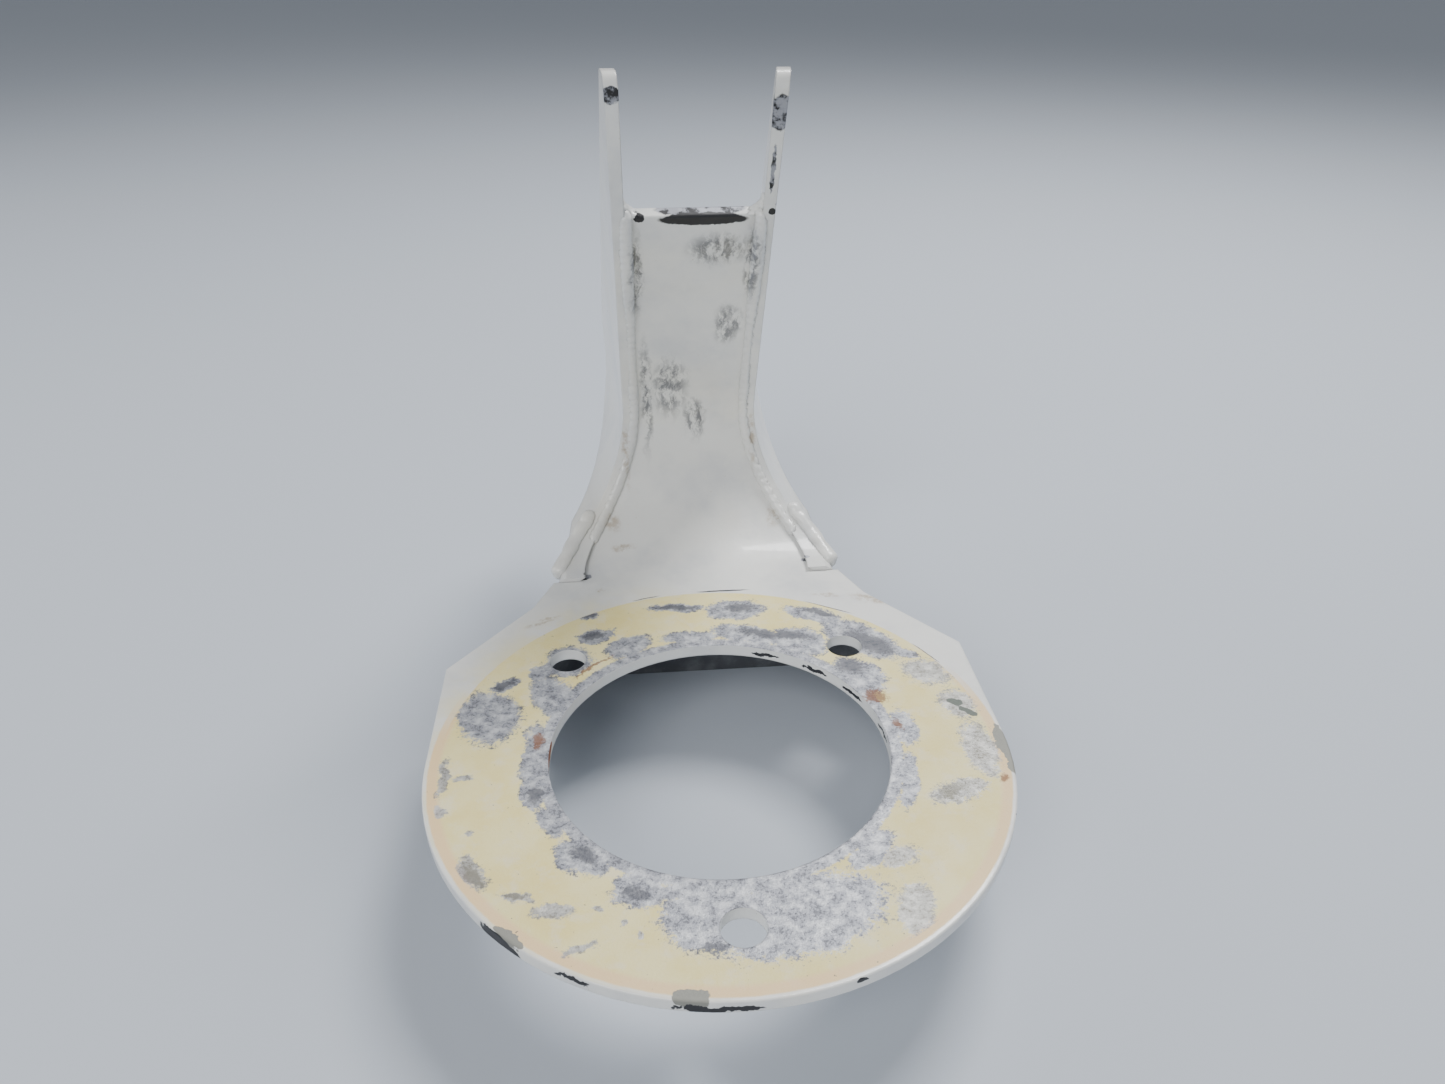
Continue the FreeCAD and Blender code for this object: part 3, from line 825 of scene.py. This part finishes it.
@dataclass
class WeldBeads:
    """The rippled, slightly lumpy beads that stand for the smooth weld solids."""

    frame: dict[str, Any]
    finishes: dict[str, bpy.types.Material]
    grain: float = 0.32
    lump_size: float = 4.5
    swell: float = 0.30
    merge_reach: float = 0.002

    def build(self) -> list[bpy.types.Object]:
        """Lays every bead.

        Returns:
            The beads.
        """
        return [self._bead(seam) for seam in SEAMS]

    def _bead(self, seam: Seam) -> bpy.types.Object:
        """One bead in its node's place.

        Args:
            seam: What to lay.

        Returns:
            The bead.
        """
        mesh = self._even_copy(seam.node)
        self._ripple(mesh, seam)
        bead = bpy.data.objects.new(seam.node.replace("weld", "bead"), mesh)
        bpy.context.scene.collection.objects.link(bead)
        mesh.materials.clear()
        mesh.materials.append(self.finishes[seam.finish])
        mesh.shade_smooth()
        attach(bead, "root")
        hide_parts(seam.node)
        log.info("%s: %d faces", bead.name, len(mesh.polygons))
        return bead

    def _even_copy(self, node: str) -> bpy.types.Mesh:
        """A closed copy of a node's mesh in small even faces.

        Args:
            node: The CAD node.

        Returns:
            The new mesh.
        """
        solid = bmesh.new()
        solid.from_mesh(self.frame["nodes"][node].data)
        bmesh.ops.remove_doubles(solid, verts=solid.verts, dist=self.merge_reach * MM)
        bmesh.ops.recalc_face_normals(solid, faces=solid.faces)
        merged = bpy.data.meshes.new(node + "_merged")
        solid.to_mesh(merged)
        solid.free()
        blank = bpy.data.objects.new(node + "_blank", merged)
        bpy.context.scene.collection.objects.link(blank)
        remesh = blank.modifiers.new("even", "REMESH")
        remesh.mode = "VOXEL"
        remesh.voxel_size = self.grain * MM
        remesh.adaptivity = 0.0
        shown = blank.evaluated_get(bpy.context.evaluated_depsgraph_get())
        even = bpy.data.meshes.new_from_object(shown)
        even.name = node.replace("weld", "bead")
        bpy.data.objects.remove(blank)
        bpy.data.meshes.remove(merged)
        return even

    def _ripple(self, mesh: bpy.types.Mesh, seam: Seam) -> None:
        """Swells a bead into the plates beside it, and draws its ripples and lumps.

        Args:
            mesh: The bead's mesh.
            seam: Its pitch and depths.
        """
        across, up = seam.plane.value
        bead = bmesh.new()
        bead.from_mesh(mesh)
        bmesh.ops.smooth_vert(bead, verts=bead.verts, factor=0.5, use_axis_x=True,
                              use_axis_y=True, use_axis_z=True)
        bead.normal_update()
        for vert in bead.verts:
            place = vert.co / MM
            arm = Vector((place[across] - seam.hub[0], place[up] - seam.hub[1]))
            run = math.atan2(arm.y, arm.x) * arm.length
            wobble = noise.noise(place / self.lump_size)
            crest = abs(math.sin(math.pi * run / seam.pitch + 1.5 * wobble))
            depth = seam.ripple * (1.0 - crest) + seam.lump * (0.5 - 0.5 * wobble)
            vert.co += vert.normal * (self.swell - depth) * MM
        bead.to_mesh(mesh)
        bead.free()


FINISH_OF_PLATE = {
    "flange_and_web": "flange_finish",
    "cheek_left": "white_paint",
    "cheek_right": "white_paint",
    # The skirt's finish is painted shade: dark grey for the shade under the flange.
    "skirt": "grey_primer",
}


@dataclass
class Plates:
    """The plates of the bracket, dressed as they come from the frame."""

    frame: dict[str, Any]
    finishes: dict[str, bpy.types.Material]

    def dress(self) -> None:
        """Gives every plate its finish."""
        for node, finish in FINISH_OF_PLATE.items():
            plate = self.frame["nodes"][node]
            if not plate.material_slots:
                plate.data.materials.append(None)
            for held in plate.material_slots:
                held.material = self.finishes[finish]
            log.info("%s: %s", node, finish)


@dataclass(frozen=True)
class Lamp:
    """A square soft light: where it hangs, its side in metres and its power in watts."""

    name: str
    place: tuple[float, float, float]
    size: float
    power: float


LAMPS = (
    Lamp("key", (0.30, 0.35, 0.75), 0.35, 8.0),
    Lamp("front", (-0.45, -0.75, 0.70), 0.60, 7.0),
    Lamp("side", (-0.80, 0.25, 0.35), 0.50, 1.5),
)


@dataclass
class Studio:
    """A pale floor, soft lights and the camera."""

    floor_size: float = 12.0
    floor_colour: Colour = (0.50, 0.54, 0.60)
    sky_colour: Colour = (0.90, 0.94, 1.0)
    sky_strength: float = 0.34
    target: tuple[float, float, float] = (0.0, 0.03, 0.02)
    eye: tuple[float, float, float] = (-0.01249, -0.13985, 0.12431)
    yaw: float = 5.266
    pitch: float = 30.513
    roll: float = 0.101
    lens: float = 26.16
    sensor: float = 36.0

    def build(self, lowest: float) -> None:
        """Makes the whole studio.

        Args:
            lowest: The height of the object's lowest point.
        """
        self._floor(lowest)
        for lamp in LAMPS:
            self._hang(lamp)
        self._sky()
        self._camera()

    def _floor(self, lowest: float) -> None:
        """The floor.

        Args:
            lowest: The height that it lies at.
        """
        plane = bmesh.new()
        bmesh.ops.create_grid(plane, x_segments=1, y_segments=1, size=self.floor_size / 2)
        bmesh.ops.translate(plane, verts=plane.verts, vec=(0.0, 0.0, lowest))
        mesh = bpy.data.meshes.new("floor")
        plane.to_mesh(mesh)
        plane.free()
        floor = bpy.data.objects.new("floor", mesh)
        bpy.context.scene.collection.objects.link(floor)
        graph = Graph("pale_floor")
        pale = graph.surface({}, {"Base Color": (*self.floor_colour, 1.0), "Roughness": 0.8})
        mesh.materials.append(graph.finished(pale))
        floor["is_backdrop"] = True

    def _hang(self, lamp: Lamp) -> None:
        """Hangs a lamp and aims it at the object.

        Args:
            lamp: What to hang.
        """
        light = bpy.data.lights.new(lamp.name, "AREA")
        light.shape = "SQUARE"
        light.size = lamp.size
        light.energy = lamp.power
        held = bpy.data.objects.new(lamp.name, light)
        held.location = lamp.place
        aim = Vector(self.target) - Vector(lamp.place)
        held.rotation_euler = aim.to_track_quat("-Z", "Y").to_euler()
        bpy.context.scene.collection.objects.link(held)

    def _sky(self) -> None:
        """Even pale light from all round."""
        world = bpy.data.worlds.new("studio")
        world.use_nodes = True
        backdrop = world.node_tree.nodes["Background"]
        backdrop.inputs["Color"].default_value = (*self.sky_colour, 1.0)
        backdrop.inputs["Strength"].default_value = self.sky_strength
        bpy.context.scene.world = world

    def _camera(self) -> None:
        """The camera, looking down at the bracket from in front."""
        yaw, pitch, roll = (math.radians(angle) for angle in (self.yaw, self.pitch, self.roll))
        ahead = Vector((math.sin(yaw) * math.cos(pitch), math.cos(yaw) * math.cos(pitch),
                        -math.sin(pitch)))
        level = Vector((math.cos(yaw), -math.sin(yaw), 0.0))
        upright = level.cross(ahead)
        right = level * math.cos(roll) + upright * math.sin(roll)
        up = upright * math.cos(roll) - level * math.sin(roll)
        turn = Matrix((right, up, -ahead)).transposed()
        seen = bpy.data.cameras.new("camera")
        seen.lens = self.lens
        seen.sensor_width = self.sensor
        seen.clip_start = 0.01
        camera = bpy.data.objects.new("camera", seen)
        camera.matrix_world = Matrix.Translation(self.eye) @ turn.to_4x4()
        bpy.context.scene.collection.objects.link(camera)
        bpy.context.scene.camera = camera


def corners() -> list[list[float]]:
    """The whole object's box as plain lists."""
    return [[float(number) for number in corner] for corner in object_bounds()]


def bore_radius(record: dict[str, Any]) -> float:
    """The pilot bore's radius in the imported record, in millimetres."""
    bore = next(mount for mount in record["mounts"] if mount["name"] == "pilot_bore")
    return bore["dims"]["r_mm"]


def main() -> None:
    """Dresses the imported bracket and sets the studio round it."""
    logging.basicConfig(level=logging.INFO, format="%(name)s: %(message)s")
    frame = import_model()
    cad_box = corners()
    flange = FlangeFinish(rim_radius=cad_box[1][0] / MM, bore_radius=bore_radius(frame["record"]))
    finishes = {
        "white_paint": WhitePaint().material(),
        "flange_finish": flange.material(),
        # The skirt's finish is painted shade, dark grey for the shade under the flange.
        "grey_primer": SkirtPaintedShade().material(),
    }
    Plates(frame, finishes).dress()
    WeldBeads(frame, finishes).build()
    Studio().build(cad_box[0][2])


if __name__ == "__main__":
    main()
